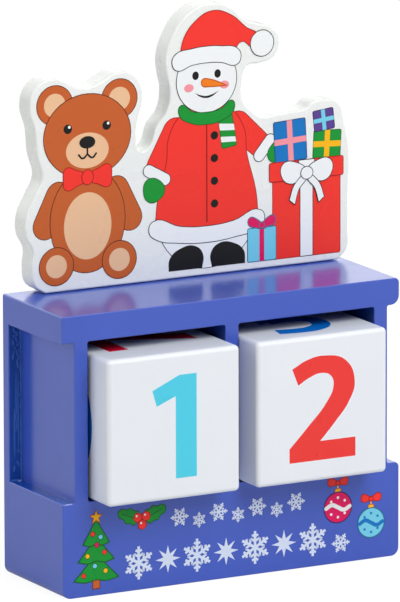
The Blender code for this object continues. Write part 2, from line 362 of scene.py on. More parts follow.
def paint(name, colours, rough, grain=(1.0, 1.0, 1.0), grain_height=0.00002, coat=0.0):
    """Brushed paint on wood: uneven colour, uneven gloss, grain that shows through, orange peel."""
    look = Look(name)
    colour = look.mix(look.noise(45.0), *map(under_gloss, colours))
    roughness = look.spread(look.noise(120.0, grain), *rough)
    normal = look.bump(look.noise(700.0, grain, 5.0), 0.6, grain_height)
    normal = look.bump(look.noise(420.0), 0.6, 0.00001, normal)
    return look.finish({"Coat Weight": coat, "Coat Roughness": rough[0]}, colour, roughness, normal)


def worn_and_glint_paint():
    """Blue paint rubbed through to its pale ground in chips; the pale colour also serves as a painted
    highlight and painted glints.
    """
    look = Look("worn_and_glint_blue_paint")
    chips = look.noise(900.0, (0.5, 1.0, 1.0), 2.0)
    colour = look.mix(look.spread(chips, -1.0, 1.6), under_gloss(BLUE[0]), under_gloss(WORN_AND_GLINT_BLUE))
    return look.finish({}, colour, look.spread(chips, 0.2, 0.6), look.bump(chips, 0.6, 0.00003))


def ink(name, colour):
    """Printed ink: a smooth film, slightly uneven in its colour and gloss."""
    look = Look("ink_" + name)
    cloud = look.noise(60.0, detail=1.0)
    full = under_gloss(colour, INK_GLOSS_SHARE)
    thin = (*(min(1.0, value * 1.03 + 0.002) for value in full[:3]), 1.0)
    colour = look.mix(cloud, full, thin)
    return look.finish({"Specular IOR Level": 0.25}, colour, look.spread(cloud, 0.26, 0.36))


def bare_wood():
    look = Look("bare_beech")
    fibres = look.noise(900.0, (1.0, 1.0, 0.06), 6.0)
    colour = look.mix(fibres, linear(BEECH, 0.6), linear(BEECH))
    return look.finish({}, colour, look.spread(fibres, 0.6, 0.8), look.bump(fibres, 0.8, 0.00004))


def bright_wire():
    look = Look("bright_wire")
    drawn = look.noise(1500.0, (1.0, 0.05, 1.0), 4.0)
    colour = look.mix(drawn, linear(STEEL, 0.7), linear(STEEL))
    return look.finish({"Metallic": 1.0}, colour, look.spread(drawn, 0.25, 0.45))


# Stretch of a grain that runs along the case, and of one that runs up it
ALONG = (0.08, 1.0, 1.0)
UPRIGHT = (1.0, 1.0, 0.08)

MATERIALS = {
    "case": paint("blue_gloss_paint", BLUE, (0.20, 0.27), ALONG, coat=0.3),
    # Worn chips, also a painted highlight on an edge and painted glints on blobs
    "worn_and_glint": worn_and_glint_paint(),
    # Darker paint in the recesses, painted shade
    "recess": paint("blue_paint_recess_shade", RECESS_SHADE_BLUE, (0.20, 0.27), UPRIGHT, coat=0.3),
    # Darker paint inside the compartments, painted shade
    "inside": paint("blue_paint_inside_shade", INSIDE_SHADE_BLUE, (0.30, 0.40), UPRIGHT),
    "bead": paint("blue_paint_bead", BLUE[::-1], (0.10, 0.18), coat=0.3),
    # Drips and recess beads, lighter than the recesses' painted shade: partly painted glints
    "drip_glint": paint("blue_paint_drip_glint", DRIP_GLINT_BLUE, (0.45, 0.60)),
    "board": paint("white_gloss_paint", BOARD_WHITE, (0.22, 0.32), grain_height=0.000005),
    "cube": paint("white_satin_paint", CUBE_WHITE, (0.28, 0.40), ALONG, 0.00003),
    "wood": bare_wood(),
    "steel": bright_wire(),
}
MATERIALS |= {name: ink(name, colour) for name, colour in INKS.items()}


def add_object(name, data):
    thing = bpy.data.objects.new(name, data)
    bpy.context.scene.collection.objects.link(thing)
    return thing


def finish_mesh(name, bm, finishes, body, nodes=()):
    """Make a bmesh a smooth-shaded piece that rides on a body, and hide the nodes that it stands for."""
    for face in bm.faces:
        face.smooth = True
    mesh = bpy.data.meshes.new(name)
    bm.to_mesh(mesh)
    bm.free()
    for finish in finishes:
        mesh.materials.append(MATERIALS[finish])
    piece = add_object(name, mesh)
    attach(piece, body)
    if nodes:
        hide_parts(*nodes)
    return piece


def weigh_normals(piece):
    """Keep large flat faces flat under smooth shading."""
    weighted = piece.modifiers.new("flat_faces", "WEIGHTED_NORMAL")
    weighted.weight = 100
    weighted.keep_sharp = True


def square_outline(corners):
    """An outline of square corners, each given as its place and its rounding."""
    places = [Vector(place) for place, _ in corners]
    outline = []
    for k, (_, radius) in enumerate(corners):
        corner = places[k]
        back = (places[k - 1] - corner).normalized() * radius
        ahead = (places[(k + 1) % len(places)] - corner).normalized() * radius
        for step in range(CORNER_STEPS + 1):
            angle = math.pi / 2 * step / CORNER_STEPS
            outline.append(corner + back * (1 - math.sin(angle)) + ahead * (1 - math.cos(angle)))
    return outline


def case_outline(left_sag=0.0):
    """The case as the front shows it, anticlockwise from its lower left corner."""
    left = BASE_LOW.x
    right = BASE_HIGH.x
    left_ceiling = SLAB_LOW.z - left_sag
    return square_outline((
        ((left, BASE_LOW.z), FOOT_ROUNDING),
        ((right, BASE_LOW.z), FOOT_ROUNDING),
        ((right, BASE_HIGH.z), RIGHT_TOP_ROUNDING),
        ((RIGHT_HIGH.x, BASE_HIGH.z), INNER_FILLET),
        ((RIGHT_HIGH.x, SLAB_LOW.z), INNER_FILLET),
        ((right, SLAB_LOW.z), SLAB_RIGHT_FOOT_ROUNDING),
        ((right, SLAB_HIGH.z), RIGHT_TOP_ROUNDING),
        ((left, SLAB_HIGH.z), LEFT_CORNER_ROUNDING),
        ((left, left_ceiling), LEFT_RECESS_ROUNDING),
        ((LEFT_LOW.x, left_ceiling), LEFT_RECESS_FILLET),
        ((LEFT_LOW.x, BASE_HIGH.z), LEFT_RECESS_FILLET),
        ((left, BASE_HIGH.z), LEFT_RECESS_ROUNDING),
    ))


def compartment_outline(left, right):
    places = ((left, BASE_HIGH.z), (right, BASE_HIGH.z), (right, SLAB_LOW.z), (left, SLAB_LOW.z))
    return square_outline([(place, INNER_FILLET) for place in places])


def add_ring(bm, outline, depth):
    return [bm.verts.new((point.x, depth, point.y)) for point in outline]


def bridge(bm, near, far, marked=(), marked_index=1, paint_index=0):
    """Faces between two rings; those that start at a marked point take another paint."""
    for k in range(len(near)):
        after = (k + 1) % len(near)
        face = bm.faces.new((near[k], near[after], far[after], far[k]))
        face.material_index = marked_index if k in marked else paint_index


def rounded_rim(bm, outline, face_depth, towards_wall, inset_sign, worn_and_glint=()):
    """Rings that turn from a flat face into the wall behind it; the first ring bounds the face."""
    rings = []
    for step in range(ROUNDING_STEPS + 1):
        angle = math.pi / 2 * step / ROUNDING_STEPS
        inset = CASE_ROUNDING * (1 - math.sin(angle))
        depth = face_depth + towards_wall * CASE_ROUNDING * (1 - math.cos(angle))
        moved = grown(outline, inset_sign * inset) if inset > 0 else outline
        rings.append(add_ring(bm, moved, depth))
    for near, far in zip(rings, rings[1:]):
        bridge(bm, near, far, worn_and_glint)
    return rings[0], rings[-1]


def round_upright_edge(bm, ring, first, last, count):
    """Round the upright edge of a recess's back face; gives the line where it meets the case's end."""
    columns = []
    for step in range(count):
        column = []
        for end, way in ((first, 1), (last, -1)):
            corner = ring[end].co
            place = ring[end + way * step].co
            radius = abs(ring[end + way * count].co.x - corner.x)
            share = 1 - abs(place.x - corner.x) / radius
            depth = place.y + radius * (1 - math.sqrt(1 - share * share))
            column.append(bm.verts.new((place.x, depth, place.z)))
        columns.append(column)
    columns.append([ring[first + count], ring[last - count]])
    for step, ((one, other), (next_one, next_other)) in enumerate(zip(columns, columns[1:])):
        bm.faces.new((one, other, next_other, next_one))
        near_first = (ring[first + step], ring[first + step + 1], next_one, one)
        near_last = (ring[last - step], ring[last - step - 1], next_other, other)
        for around in (near_first, near_last):
            bm.faces.new(tuple(dict.fromkeys(around)))
    return columns[0]


def case_skin():
    """Base, slab, uprights and back panel under one skin of paint, without the solids' gaps."""
    bm = bmesh.new()
    front = BASE_LOW.y
    inner = BACK_LOW.y
    rear = BACK_HIGH.y
    outer = case_outline()
    sagged = case_outline(LEFT_SAG)
    holes = (
        compartment_outline(LEFT_HIGH.x, DIVIDER_LOW.x),
        compartment_outline(DIVIDER_HIGH.x, RIGHT_LOW.x),
    )
    per_corner = CORNER_STEPS + 1
    # The point of the outline where the left recess's floor ends at the case's left end
    sill = LEFT_RECESS[1] * per_corner
    # Faces of the rounding along that floor's front edge: worn chips and a painted highlight
    worn_and_glint_edge = range(sill - 1, sill + 1)
    # The floor's faces behind the rounding, painted darker as painted shade
    shaded_recess_floor = range(sill - 3, sill)
    face_rim, wall_rim = rounded_rim(bm, outer, front, 1, -1, worn_and_glint_edge)
    sagged_rim = add_ring(bm, sagged, front + LEFT_SAG_DEPTH)
    outer_wall = add_ring(bm, sagged, inner)
    bridge(bm, wall_rim, sagged_rim, shaded_recess_floor, 3)
    bridge(bm, sagged_rim, outer_wall, shaded_recess_floor, 3)
    rims = [face_rim]
    for hole in holes:
        face_rim, wall_rim = rounded_rim(bm, hole, front, 1, 1)
        rims.append(face_rim)
        back_ring = add_ring(bm, hole, inner)
        # The compartment's walls and back take the darker inside paint, painted shade
        bridge(bm, wall_rim, back_ring, paint_index=2)
        bm.faces.new(back_ring).material_index = 2
    flat = [[Vector((vert.co.x, vert.co.z, 0.0)) for vert in rim] for rim in rims]
    verts = [vert for rim in rims for vert in rim]
    for triangle in geometry.tessellate_polygon(flat):
        bm.faces.new([verts[index] for index in triangle])
    recesses = (RIGHT_RECESS, LEFT_RECESS)
    notches = [(first * per_corner, (last + 1) * per_corner - 1, count) for first, last, count in recesses]
    skipped = set()
    strips = {}
    for first, last, count in notches:
        strips[first] = round_upright_edge(bm, outer_wall, first, last, count)
        # The recess's back face, painted darker as painted shade
        bm.faces.new(outer_wall[first + count:last - count + 1]).material_index = 3
        skipped |= set(range(first + 1, last))
    kept = [k for k in range(len(outer)) if k not in skipped]
    rear_outline = [outer[k] for k in kept]
    rear_face, rear_wall = rounded_rim(bm, rear_outline, rear, -1, -1)
    bm.faces.new(rear_face)
    for place, k in enumerate(kept):
        after = (place + 1) % len(kept)
        near = [outer_wall[k]] + strips.get(k, []) + [outer_wall[kept[after]]]
        bm.faces.new(near + [rear_wall[after], rear_wall[place]])
    bmesh.ops.recalc_face_normals(bm, faces=bm.faces)
    notch_ends = {outer_wall[k] for first, last, _ in notches for k in (first, last)}
    for edge in bm.edges:
        edge.smooth = edge.calc_face_angle(0.0) < SMOOTH_ANGLE and notch_ends.isdisjoint(edge.verts)
    nodes = ("base_block", "top_slab", "back_panel", "left_side_panel", "centre_divider", "right_side_panel")
    finishes = ("case", "worn_and_glint", "inside", "recess")
    weigh_normals(finish_mesh("painted_case", bm, finishes, "case", nodes))


def add_bead(bm, start, end, away, radius, unevenness):
    """A concave bead along a corner of the back panel, thicker and thinner as the paint ran."""
    start = Vector((start[0], BACK_LOW.y, start[1]))
    end = Vector((end[0], BACK_LOW.y, end[1]))
    front = Vector((0, -1, 0))
    stations = max(8, int((end - start).length / BEAD_STEP))
    turns = 5
    rows = []
    for station in range(stations + 1):
        corner = start.lerp(end, station / stations)
        swell = noise.noise(corner * 260) + 0.5 * noise.noise(corner * 900)
        size = radius * max(0.35, 1.0 + unevenness * swell)
        centre = corner + size * (front + away)
        row = []
        for turn in range(turns + 1):
            angle = math.pi / 2 * turn / turns
            row.append(bm.verts.new(centre - size * (math.cos(angle) * front + math.sin(angle) * away)))
        rows.append(row)
    for near, far in zip(rows, rows[1:]):
        for turn in range(turns):
            bm.faces.new((near[turn], near[turn + 1], far[turn + 1], far[turn]))


def paint_beads():
    """Paint that gathered where the back panel meets the recesses and the compartments."""
    right = Vector((1, 0, 0))
    up = Vector((0, 0, 1))
    foot = BASE_HIGH.z
    head = SLAB_LOW.z
    bm = bmesh.new()
    recesses = ((BACK_LOW.x, LEFT_LOW.x, -right, head - LEFT_SAG), (BACK_HIGH.x, RIGHT_HIGH.x, right, head))
    for end, side, outward, ceiling in recesses:
        add_bead(bm, (side, foot), (side, ceiling), outward, RECESS_BEAD, 0.9)
        for level, away in ((foot, up), (ceiling, -up)):
            add_bead(bm, (side, level), (end - outward.x * SEAM_BEAD, level), away, SEAM_BEAD, 0.3)
    # The recess beads take the lighter drip paint, partly painted glints
    for face in bm.faces:
        face.material_index = 1
    for left_face, right_face in ((LEFT_HIGH.x, DIVIDER_LOW.x), (DIVIDER_HIGH.x, RIGHT_LOW.x)):
        for side, inward in ((left_face, right), (right_face, -right)):
            add_bead(bm, (side, foot), (side, head), inward, SEAM_BEAD, 0.6)
        for level, away in ((foot, up), (head, -up)):
            add_bead(bm, (left_face, level), (right_face, level), away, SEAM_BEAD, 0.5)
    finish_mesh("paint_beads", bm, ("bead", "drip_glint"), "case")


def add_ball(bm, centre, half_size, turn=Matrix(), subdivisions=2):
    """A ball drawn out along its axes; gives its vertices."""
    matrix = Matrix.Translation(centre) @ turn @ Matrix.Diagonal((*half_size, 1.0))
    return bmesh.ops.create_icosphere(bm, subdivisions=subdivisions, radius=1.0, matrix=matrix)["verts"]


def paint_drips():
    """Drips and runs of paint on the back panel beside the uprights, and a few blobs at their feet, every
    other one pale as a painted glint.
    """
    chance = random.Random(11)
    back = BACK_LOW.y
    foot = BASE_HIGH.z
    rise = SLAB_LOW.z - foot
    bm = bmesh.new()
    for side, outward in ((LEFT_LOW.x, -1), (RIGHT_HIGH.x, 1)):
        for number in range(DRIPS):
            share = chance.uniform(*(DRIP_CLUMP if number % 3 else DRIP_STRAYS))
            away = chance.uniform(*DRIP_AWAY)
            width = chance.uniform(*DRIP_WIDTH)
            length = width * chance.uniform(*DRIP_LENGTH)
            turn = Matrix.Rotation(chance.uniform(-DRIP_LEAN, DRIP_LEAN), 4, "Y")
            size = (width, width * 0.7, length)
            add_ball(bm, (side + outward * away, back, foot + share * rise), size, turn)
        for away, share, reach in RUNS:
            size = (RUN_WIDTH, RUN_WIDTH * 0.5, reach * rise)
            add_ball(bm, (side + outward * away, back, foot + share * rise), size, subdivisions=3)
        for number in range(BLOBS):
            across = side + outward * chance.uniform(*BLOB_AWAY)
            depth = back - chance.uniform(*BLOB_DEPTH)
            width = chance.uniform(*BLOB_WIDTH)
            # Every other blob takes the pale paint, a painted glint
            for vert in add_ball(bm, (across, depth, foot + 0.0001), (width, width * 0.8, width * 0.7)):
                for face in vert.link_faces:
                    face.material_index = number % 2
    finish_mesh("paint_drips", bm, ("drip_glint", "worn_and_glint"), "case")


def pin_heads():
    """Painted heads of the wire pins in the back panel."""
    bm = bmesh.new()
    flatten = Matrix.Diagonal((1.0, PIN_HEAD_RISE / PIN_HEAD_RADIUS, 1.0, 1.0))
    for number in range(1, 7):
        low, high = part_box(f"back_panel_pin_{number}")
        centre = (low + high) / 2
        matrix = Matrix.Translation((centre.x, BACK_HIGH.y, centre.z)) @ flatten
        bmesh.ops.create_uvsphere(bm, u_segments=24, v_segments=12, radius=PIN_HEAD_RADIUS, matrix=matrix)
    finish_mesh("painted_pin_heads", bm, ("case",), "case")


def board_piece():
    """The cut-out board, from its outline, with finely rounded edges."""
    size = BOARD_HIGH - BOARD_LOW
    curve = bpy.data.curves.new("board_outline", "CURVE")
    curve.dimensions = "2D"
    curve.fill_mode = "BOTH"
    curve.bevel_depth = BOARD_ROUNDING
    curve.bevel_resolution = 3
    curve.offset = -BOARD_ROUNDING
    curve.extrude = size.y / 2 - BOARD_ROUNDING
    curve.resolution_u = 8
    spline = curve.splines.new("BEZIER")
    points = spline.bezier_points
    points.add(len(BOARD_OUTLINE_SHARES) - 1)
    feet = (0, len(points) - 1)
    for k, (across, rise) in enumerate(BOARD_OUTLINE_SHARES):
        points[k].co = (across * size.x, rise * size.z, 0.0)
        points[k].handle_left_type = "VECTOR" if k in feet else "AUTO"
        points[k].handle_right_type = points[k].handle_left_type
    spline.use_cyclic_u = True
    outline = add_object("board_outline", curve)
    bpy.context.view_layer.update()
    mesh = bpy.data.meshes.new_from_object(outline.evaluated_get(bpy.context.evaluated_depsgraph_get()))
    bpy.data.objects.remove(outline, do_unlink=True)
    bm = bmesh.new()
    bm.from_mesh(mesh)
    bmesh.ops.remove_doubles(bm, verts=bm.verts, dist=INK_STEP)
    centre = (BOARD_LOW + BOARD_HIGH) / 2
    stand = Matrix.Translation((centre.x, centre.y, BOARD_LOW.z)) @ Matrix.Rotation(math.radians(90), 4, "X")
    bmesh.ops.transform(bm, matrix=stand, verts=bm.verts)
    weigh_normals(finish_mesh("painted_board", bm, ("board",), "case", ("topper_board",)))


def polar(angle, reach=1.0):
    return Vector((math.cos(angle), math.sin(angle))) * reach


def ellipse(across, up, half_width, half_height=None, points=48):
    half_height = half_height or half_width
    turn = 2 * math.pi / points
    return [
        Vector((across + half_width * math.cos(turn * k), up + half_height * math.sin(turn * k)))
        for k in range(points)
    ]


def capsule(start, end, start_radius, end_radius=None, points=12):
    """A round-ended bar between two points."""
    start = Vector(start)
    end = Vector(end)
    end_radius = end_radius or start_radius
    heading = math.atan2(end.y - start.y, end.x - start.x)
    ends = ((start, start_radius, heading + math.pi / 2), (end, end_radius, heading - math.pi / 2))
    out = []
    for centre, radius, first in ends:
        for k in range(points):
            angle = first + math.pi * k / (points - 1)
            out.append(centre + polar(angle, radius))
    return out


def rounded(corners, radius=0.0, points=5):
    """A closed polygon with its corners rounded."""
    corners = [Vector(corner) for corner in corners]
    if radius == 0:
        return corners
    out = []
    for k, corner in enumerate(corners):
        before = corners[k - 1]
        after = corners[(k + 1) % len(corners)]
        back = (before - corner).normalized()
        ahead = (after - corner).normalized()
        half = back.angle(ahead) / 2
        reach = min(radius / math.tan(half), 0.45 * (before - corner).length, 0.45 * (after - corner).length)
        start = corner + back * reach
        end = corner + ahead * reach
        for step in range(points + 1):
            share = step / points
            bend = start.lerp(corner, share)
            out.append(bend.lerp(corner.lerp(end, share), share))
    return out


def through(points, corners=(), closed=True, steps=6):
    """A smooth curve through given points; the listed ones are sharp corners."""
    points = [Vector(point) for point in points]
    count = len(points)
    sharp = {corner % count for corner in corners}
    arriving = []
    leaving = []
    for k, point in enumerate(points):
        before = points[k - 1] if closed or k > 0 else 2 * point - points[k + 1]
        after = points[(k + 1) % count] if closed or k < count - 1 else 2 * point - points[k - 1]
        back = (point - before).length
        ahead = (after - point).length
        if k in sharp:
            arriving.append(point + (before - point) / 3)
            leaving.append(point + (after - point) / 3)
        else:
            slope = (after - point) / ahead + (point - before) / back
            slope /= max(slope.length, 0.001) * HANDLE_RATIO
            arriving.append(point - slope * back)
            leaving.append(point + slope * ahead)
    out = []
    for k in range(count if closed else count - 1):
        after = (k + 1) % count
        side = (points[k], leaving[k], arriving[after], points[after])
        out += geometry.interpolate_bezier(*side, steps + 1)[:-1]
    if not closed:
        out.append(points[-1])
    return out


def round_cap(before, end, radius, points=7):
    """The points of a half circle that closes a line at its end, from its left side to its right."""
    heading = math.atan2(end.y - before.y, end.x - before.x)
    return [end + polar(heading + math.pi * (0.5 - k / points), radius) for k in range(1, points)]


def stroke(points, width, round_ends=True, steps=6):
    """A drawn line of even width through a few points."""
    line = through(points, closed=False, steps=steps)
    left = []
    right = []
    for k, point in enumerate(line):
        heading = (line[min(k + 1, len(line) - 1)] - line[max(k - 1, 0)]).normalized()
        side = Vector((-heading.y, heading.x)) * width / 2
        left.append(point + side)
        right.insert(0, point - side)
    if not round_ends:
        return left + right
    half = width / 2
    return left + round_cap(line[-2], line[-1], half) + right + round_cap(line[1], line[0], half)


def area(outline):
    return sum(a.x * b.y - b.x * a.y for a, b in zip(outline, outline[1:] + outline[:1])) / 2


def grown(outline, by):
    """The outline moved outwards along its corners' normals."""
    facing = 1 if area(outline) > 0 else -1
    out = []
    count = len(outline)
    for k, point in enumerate(outline):
        back = (point - outline[k - 1]).normalized()
        ahead = (outline[(k + 1) % count] - point).normalized()
        before = Vector((back.y, -back.x)) * facing
        after = Vector((ahead.y, -ahead.x)) * facing
        middle = before + after
        if middle.length < 0.001:
            middle = before
        middle.normalize()
        out.append(point + middle * by / max(middle.dot(after), 0.5))
    return out


def box(low_x, low_y, high_x, high_y, radius=0.0):
    """An upright rectangle with rounded corners."""
    return rounded(((low_x, low_y), (high_x, low_y), (high_x, high_y), (low_x, high_y)), radius)


def mirrored(points, side):
    return [(x * side, y) for x, y in points]


def both_sides(half, middle, rest=()):
    """Points down the left side, the one on the mirror line, then up the right side and the rest."""
    return [*mirrored(half, -1), (0, middle), *half[::-1], *rest]


class Picture:
    """A printed picture: thin flat layers of ink on a face, each a hair above what it covers."""

    def __init__(self, name, corner, right, up, unit, body, slot):
        self.name = name
        self.corner = Vector(corner)
        self.right = Vector(right)
        self.up = Vector(up)
        self.unit = unit
        self.body = body
        self.slot = slot
        self.origin = Vector((0, 0))
        self.bm = bmesh.new()
        self.inks = []
        self.layers = []

    def at(self, across, up):
        """Move the point of the face that shapes are drawn from."""
        self.origin = Vector((across, up))
        return self

    def verts(self, outline, level):
        lift = self.right.cross(self.up) * level * INK_STEP
        places = [self.corner + (self.right * p.x + self.up * p.y) * self.unit for p in outline]
        return [self.bm.verts.new(place + lift) for place in places]

    def level_over(self, outline):
        low = Vector((min(p.x for p in outline), min(p.y for p in outline)))
        high = Vector((max(p.x for p in outline), max(p.y for p in outline)))
        level = 1
        for other_low, other_high, other_level in self.layers:
            beside = other_low.x > high.x or other_high.x < low.x
            if not (beside or other_low.y > high.y or other_high.y < low.y):
                level = max(level, other_level + 1)
        self.layers.append((low, high, level))
        return level

    def face(self, verts, name):
        if name not in self.inks:
            self.inks.append(name)
        self.bm.faces.new(verts).material_index = self.inks.index(name)

    def lay(self, outline, name):
        """A shape in one ink."""
        placed = [self.origin + point for point in outline]
        if area(placed) < 0:
            placed.reverse()
        self.face(self.verts(placed, self.level_over(placed)), name)

    def lined(self, outline, name, width=0.3, line=None):
        """A filled shape with an outline in a darker ink."""
        self.lay(grown(outline, width / 2), line or LINE_INKS[name])
        self.lay(grown(outline, -width / 2), name)

    def ring(self, centre, half_size, weight, name, points=48):
        """A band between two ellipses."""
        outer = [self.origin + p for p in ellipse(*centre, *half_size, points)]
        inner_size = (half_size[0] - weight[0], half_size[1] - weight[1])
        inner = [self.origin + p for p in ellipse(*centre, *inner_size, points)]
        level = self.level_over(outer)
        outside = self.verts(outer, level)
        inside = self.verts(inner, level)
        for k in range(points):
            after = (k + 1) % points
            self.face((outside[k], outside[after], inside[after], inside[k]), name)

    def finish(self):
        finish_mesh(self.name, self.bm, self.inks, self.body).data.shade_flat()


def teddy(art):
    """A sitting teddy bear with a bow tie."""
    for side in (-1, 1):
        art.lined(capsule((12 * side, 36), (17.5 * side, 25), 5.0), "brown")
    art.lined(ellipse(0, 25.5, 15.5, 19.5), "brown")
    art.lay(ellipse(0, 23.5, 9.8, 12.5), "tan")
    for side in (-1, 1):
        for across, up, radius, inner in ((13, 9.6, 7.1, 4.3), (13.3, 69.5, 7.4, 4.4)):
            art.lined(ellipse(across * side, up, radius), "brown")
            art.lay(ellipse(across * side, up, inner), "tan")
    art.lined(ellipse(0, 57, 18, 15.6), "brown")
    art.lay(ellipse(0, 51.6, 8.8, 6.6), "tan")
    art.lay(ellipse(0, 54.6, 3.3, 2.3), "black")
    art.lay(stroke(((0, 52.6), (0, 50.4)), 0.7), "black")
    for side in (-1, 1):
        art.lay(stroke(mirrored(((3.6, 50.2), (2.0, 48.8), (0, 50.2)), side), 0.7), "black")
        art.lay(ellipse(8.0 * side, 60.2, 1.75), "black")
        art.lay(ellipse(8.0 * side + 0.6, 60.9, 0.55, points=16), "white")
    loop = ((0, 41.6), (4.5, 44.6), (9, 45.6), (10, 41.6), (9, 37.6), (4.5, 38.6))
    for side in (-1, 1):
        art.lined(through(mirrored(loop, side)), "red")
    art.lined(ellipse(0, 41.6, 2.4, 2.8), "red")


def snowman_body(art):
    art.lined(ellipse(0, 23.6, 21.0), "white")
    boot = ((2.0, 2.8), (1.6, 8.0), (5, 11.4), (11, 11.0), (15.5, 7.6), (16.0, 2.8))
    for side in (-1, 1):
        art.lay(through(mirrored(boot, side), (0, 5)), "black")
    art.lined(capsule((-13, 55), (-20.5, 42.5), 5.2, 4.6), "red")
    art.lined(capsule((13, 55), (22.5, 46.5), 5.2, 4.6), "red")
    coat = ((9, 62), (15.5, 54), (16.8, 44), (20.5, 30), (21.6, 19.5), (11, 16.6))
    art.lined(through(both_sides(coat, 15.8, ((0, 63.5),)), (4, 8)), "red")
    hem = ((22.6, 22.2), (24.2, 18.4), (21.8, 15.6), (11, 13.0))
    art.lined(through(both_sides(hem, 12.2, ((11, 19.3), (0, 18.4), (-11, 19.3)))), "white")
    art.lay(stroke(((0, 20), (0, 60)), 0.5), "dark_red")
    for height in (52, 43.5, 35, 26.5):
        art.lay(ellipse(3.2, height, 1.55, points=24), "black")
    left_mitten = ((-24.6, 38.2), (-26.4, 33.6), (-24.0, 29.6), (-20.0, 30.2), (-17.6, 33.0), (-18.4, 36.2))
    right_mitten = ((25.6, 41.6), (29.2, 39.2), (33.4, 40.6), (33.6, 44.6), (30.6, 47.6), (28.0, 46.8))
    hands = (((-17.4, 37.6), (-24.2, 41.4), left_mitten), ((22.0, 42.6), (26.6, 48.0), right_mitten))
    for start, end, mitten in hands:
        art.lined(capsule(start, end, 2.3), "white")
        art.lined(through(mitten), "green")


def snowman_head(art):
    art.lined(ellipse(0, 73, 12.6, 12.2), "white")
    art.lined(rounded(((4.5, 60.5), (10.5, 60.0), (12.6, 47.5), (6.4, 46.6)), 1.0), "green")
    art.lay(rounded(((5.1, 56.2), (11.3, 55.6), (11.7, 53.2), (5.5, 53.6)), 0.2), "white")
    art.lay(rounded(((5.8, 51.2), (12.0, 50.8), (12.3, 48.9), (6.1, 49.1)), 0.2), "white")
    below = ((11.4, 60.8), (6.5, 57.4), (0, 56.4), (-6.5, 57.4), (-11.4, 60.8))
    art.lined(through(both_sides(((10.8, 64.4), (6, 61.8)), 61.0, below)), "green")
    for side in (-1, 1):
        art.lay(ellipse(4.6 * side, 75.0, 1.35, 1.6, 24), "black")
        art.lay(ellipse(7.4 * side, 70.6, 2.0, 1.5, 24), "pink")
    above = ((2.6, 67.6), (0, 67.1), (-2.6, 67.6))
    art.lay(through(both_sides(((5.0, 68.6), (2.6, 66.9)), 66.3, above), (0, 4)), "black")
    carrot = ((-1.6, 73.4), (1.0, 73.3), (8.6, 70.2), (1.0, 70.4), (-1.6, 70.8), (-2.2, 72.1))
    art.lined(through(carrot, (2,)), "orange", 0.35)
    cap = (
        (-11.2, 82.0), (-9.6, 89), (-5.0, 95.0), (2.5, 98.6), (10.5, 96.2), (16.5, 91.2), (21.6, 87.4),
        (19.5, 83.6), (14.8, 86.0), (11.2, 82.0),
    )
    art.lined(through(cap, (0, 9)), "red")
    art.lined(ellipse(23.2, 84.6, 4.9), "white")
    brim = ((13.0, 83.6), (14.4, 80.6), (12.6, 77.6), (6, 79.0))
    art.lined(through(both_sides(brim, 79.4, ((6, 85.2), (0, 85.6), (-6, 85.2)))), "white")


def gift(art, size, turn, wrap, tape, tape_width=2.2, crossed=True, bow=False):
    """A wrapped box with a ribbon round it, about the picture's origin."""
    spin = Matrix.Rotation(math.radians(turn), 2)
    x = size[0] / 2
    y = size[1] / 2
    half = tape_width / 2

    def turned(outline):
        return [spin @ point for point in outline]

    art.lined(turned(box(-x, -y, x, y, 0.7)), wrap)
    art.lay(turned(box(-half, -y, half, y)), tape)
    if crossed:
        art.lay(turned(box(-x, -half, x, half)), tape)
    if bow:
        line = LINE_INKS[wrap]
        for side in (-1, 1):
            loop = ((0, y), (2.2, y + 3.4), (5.2, y + 4.0), (5.6, y + 1.4), (3, y + 0.2))
            art.lined(turned(through(mirrored(loop, side))), tape, 0.35, line)
        art.lined(turned(ellipse(0, y + 0.9, 1.2, points=24)), tape, 0.35, line)


def large_gift(art):
    """The large red box with a lid and a white bow."""
    art.lined(box(-14.3, 0, 14.3, 30.2, 0.8), "red")
    art.lined(box(-2.7, 0, 2.7, 30.2), "white")
    art.lined(box(-15.7, 29.2, 15.5, 36.4, 0.9), "red")
    art.lined(box(-3.3, 29.2, 3.3, 36.4), "white")
    loop = ((0, 31.6), (4.6, 35.8), (10.0, 35.6), (10.6, 30.8), (7.0, 27.8), (3.0, 29.0))
    end = ((0.6, 30.2), (3.4, 25.2), (5.0, 19.8), (7.4, 21.8), (4.6, 28.2))
    for side in (-1, 1):
        art.lined(through(mirrored(loop, side)), "white")
        art.lined(through(mirrored(end, side), (2, 3)), "white")
    art.lined(ellipse(0, 31.4, 2.6, 2.4, 24), "white")


def front_picture(name, low, high, height, slot):
    """A picture on a front face of the case, so many units high."""
    unit = (high.z - low.z) / height
    return Picture(name, (0.0, low.y, low.z), (1, 0, 0), (0, 0, 1), unit, "case", slot)


def board_picture():
    """A teddy bear, a snowman and presents, printed on the cut-out board."""
    art = front_picture("board_picture", BOARD_LOW, BOARD_HIGH, BOARD_UNITS, "white_paint")
    teddy(art.at(-39.5, 0))
    snowman_body(art.at(10.0, 0))
    snowman_head(art)
    gift(art.at(45.0, 46.9), (13.4, 15.4), 3, "blue", "pink")
    gift(art.at(60.6, 44.2), (11.6, 10.4), -3, "green", "yellow")
    gift(art.at(59.2, 53.4), (8.6, 7.8), 6, "purple", "sky", 1.6)
    large_gift(art.at(51.9, 2.8))
    gift(art.at(33.0, 9.2), (12.0, 12.6), 0, "sky", "magenta", 2.0, False, True)
    art.finish()


